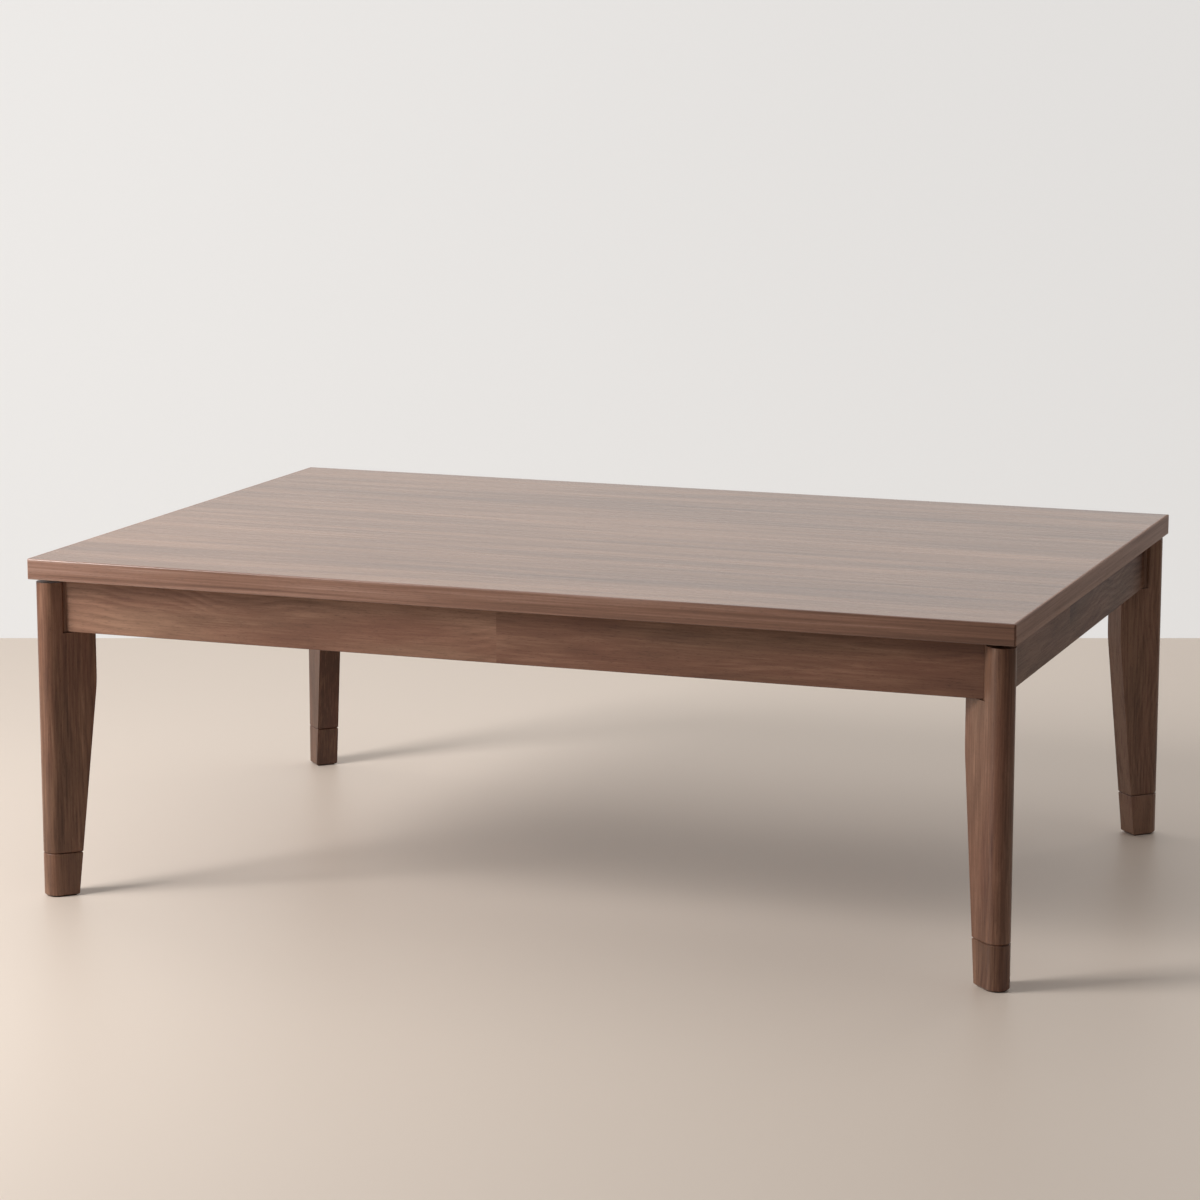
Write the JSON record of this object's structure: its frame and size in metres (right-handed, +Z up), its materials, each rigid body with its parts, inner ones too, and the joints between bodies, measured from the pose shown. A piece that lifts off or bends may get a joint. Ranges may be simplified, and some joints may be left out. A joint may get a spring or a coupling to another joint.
{
  "type": "kotatsu table",
  "caption": "Low rectangular heated table: loose lift-off top on an apron frame, diagonal blade legs with screw-on foot extensions, and an electric heater behind a wire guard underneath.",
  "frame": {"origin": "on the floor, under the middle of the tabletop", "axes": "+X along the table's long side, +Y towards its back, where the heater's inlet is, +Z up"},
  "size_m": [1.2, 0.8, 0.413],
  "materials": {
    "panel_core": "raw fibreboard core of the panel",
    "top_veneer": "straight-grained veneer under a satin greyish brown lacquer",
    "top_backing": "plain brown backing sheet, dull",
    "edge_band": "brown edge banding with its grain along the edge, satin",
    "apron_wood": "solid wood with a walnut stain and a satin lacquer",
    "grip_rubber": "soft dark grey rubber",
    "leg_wood": "solid wood with a walnut stain and a satin lacquer, grain upright",
    "zinc_fastener": "zinc-plated steel",
    "felt": "pressed brown wool felt",
    "zinc_plate": "zinc-plated pressed steel",
    "brass_insert": "plain turned brass",
    "rail_wood": "plain unfinished softwood",
    "dowel_wood": "fluted beech, unfinished",
    "case_enamel": "black baked enamel on sheet steel",
    "mineral_board": "compressed mineral fibre board",
    "reflector_metal": "bright rolled aluminium sheet",
    "quartz_glass": "clear quartz",
    "coil_wire": "oxidised resistance wire",
    "white_ceramic": "unglazed white ceramic",
    "bracket_steel": "galvanised sheet steel",
    "control_body": "heat-proof white moulding",
    "inlet_resin": "black heat-proof resin",
    "pin_brass": "nickel-plated brass",
    "lead_sleeve": "heat-proof sleeve",
    "guard_wire": "dark grey powder coat on steel wire"
  },
  "bodies": {
    "frame": {"apron_front": "apron_wood", "apron_back": "apron_wood", "apron_left": "apron_wood", "apron_right": "apron_wood", "grip_pads": "grip_rubber", "leg_front_left": "leg_wood", "leg_front_right": "leg_wood", "leg_back_left": "leg_wood", "leg_back_right": "leg_wood", "corner_plate_front_left": "zinc_plate", "corner_plate_front_right": "zinc_plate", "corner_plate_back_left": "zinc_plate", "corner_plate_back_right": "zinc_plate", "plate_screws": "zinc_fastener", "leg_bolts": "zinc_fastener", "leg_bolt_washers": "zinc_fastener", "leg_inserts": "brass_insert", "foot_inserts": "brass_insert", "cross_rail_left": "rail_wood", "cross_rail_right": "rail_wood", "heater_rail_front": "rail_wood", "heater_rail_back": "rail_wood", "rail_dowels": "dowel_wood", "heater_case": "case_enamel", "insulation_board": "mineral_board", "reflector": "reflector_metal", "quartz_tubes": "quartz_glass", "heating_coils": "coil_wire", "ceramic_caps": "white_ceramic", "tube_bracket_left": "bracket_steel", "tube_bracket_right": "bracket_steel", "thermostat": "control_body", "thermal_fuse": "control_body", "terminal_block": "white_ceramic", "inlet_housing": "inlet_resin", "inlet_pins": "pin_brass", "inner_leads": "lead_sleeve", "heater_guard": "guard_wire", "guard_screws": "zinc_fastener", "case_screws": "zinc_fastener"},
    "tabletop": {"top_core": "panel_core", "top_veneer": "top_veneer", "top_backing": "top_backing", "edge_band_front": "edge_band", "edge_band_back": "edge_band", "edge_band_left": "edge_band", "edge_band_right": "edge_band"},
    "leg_extension_front_left": {"extension_front_left": "leg_wood", "hanger_bolt_front_left": "zinc_fastener", "foot_pad_front_left": "felt"},
    "leg_extension_front_right": {"extension_front_right": "leg_wood", "hanger_bolt_front_right": "zinc_fastener", "foot_pad_front_right": "felt"},
    "leg_extension_back_left": {"extension_back_left": "leg_wood", "hanger_bolt_back_left": "zinc_fastener", "foot_pad_back_left": "felt"},
    "leg_extension_back_right": {"extension_back_right": "leg_wood", "hanger_bolt_back_right": "zinc_fastener", "foot_pad_back_right": "felt"}
  },
  "joints": [
    {"name": "tabletop_lift", "type": "slide", "parent": "frame", "child": "tabletop", "axis": [0, 0, 1], "range_m": [0, 0.15]},
    {"name": "extension_slide_front_left", "type": "slide", "parent": "frame", "child": "leg_extension_front_left", "axis": [0, 0, -1], "range_m": [0, 0.026]},
    {"name": "extension_slide_front_right", "type": "slide", "parent": "frame", "child": "leg_extension_front_right", "axis": [0, 0, -1], "range_m": [0, 0.026]},
    {"name": "extension_slide_back_left", "type": "slide", "parent": "frame", "child": "leg_extension_back_left", "axis": [0, 0, -1], "range_m": [0, 0.026]},
    {"name": "extension_slide_back_right", "type": "slide", "parent": "frame", "child": "leg_extension_back_right", "axis": [0, 0, -1], "range_m": [0, 0.026]}
  ]
}
